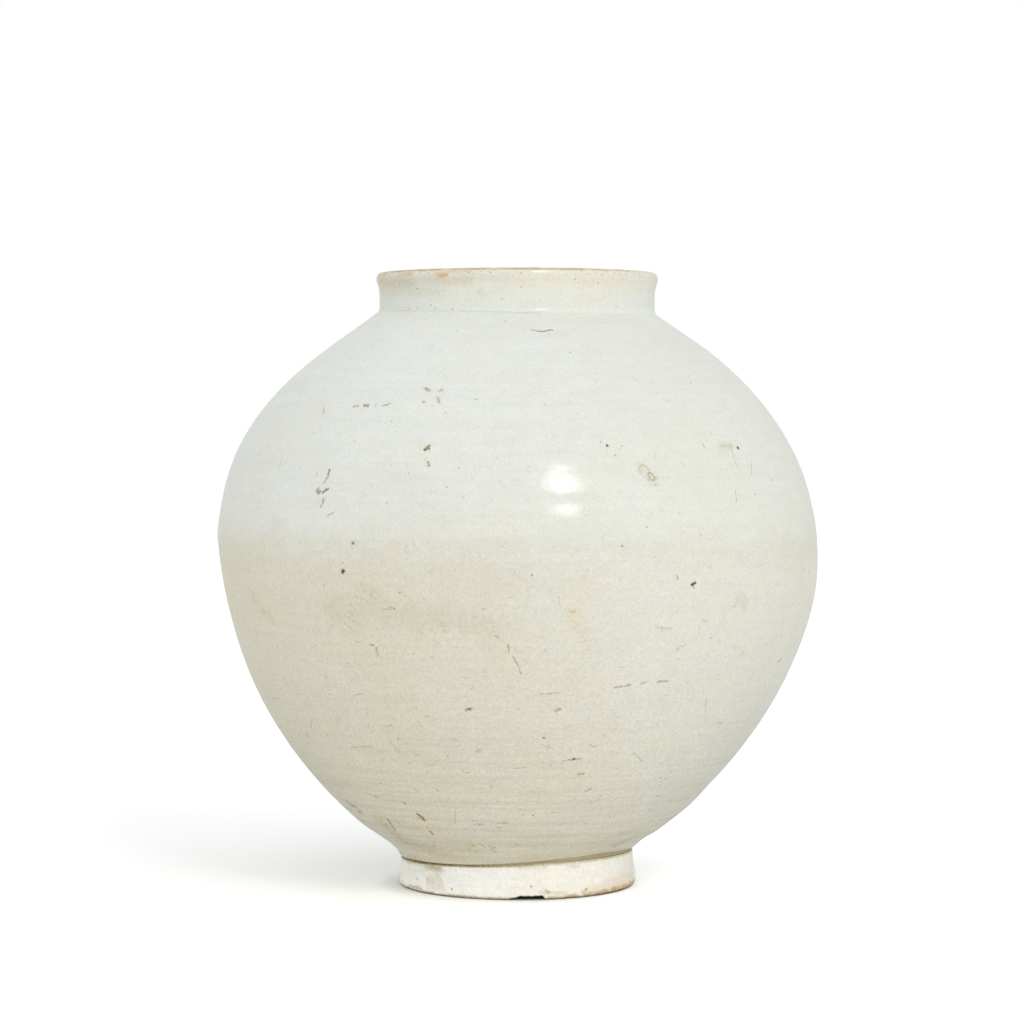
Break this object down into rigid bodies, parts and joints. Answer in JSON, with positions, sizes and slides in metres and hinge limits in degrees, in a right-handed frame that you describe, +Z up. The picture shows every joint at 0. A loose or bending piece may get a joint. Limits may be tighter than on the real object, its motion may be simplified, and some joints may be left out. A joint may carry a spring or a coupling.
{
  "type": "moon jar",
  "caption": "Round white porcelain storage jar: bowls luted rim to rim at the waist, a low collar with a rolled lip on top and a turned foot ring below.",
  "frame": {"origin": "on the table plane, at the middle of the foot ring", "axes": "+Z up along the jar's throwing axis; -Y is the side that faces the viewer in the picture, +X its right"},
  "size_m": [0.4318, 0.431, 0.44],
  "materials": {
    "upper_glaze": "gloss",
    "lower_glaze": "gloss",
    "collar_glaze": "gloss",
    "foot_glaze": "satin",
    "luting_slip": "matte"
  },
  "bodies": {
    "root": {"foot_ring": "foot_glaze", "foot_slip": "luting_slip", "lower_bowl": "lower_glaze", "waist_slip": "luting_slip", "upper_bowl": "upper_glaze", "neck_slip": "luting_slip", "mouth_collar": "collar_glaze"}
  },
  "joints": []
}
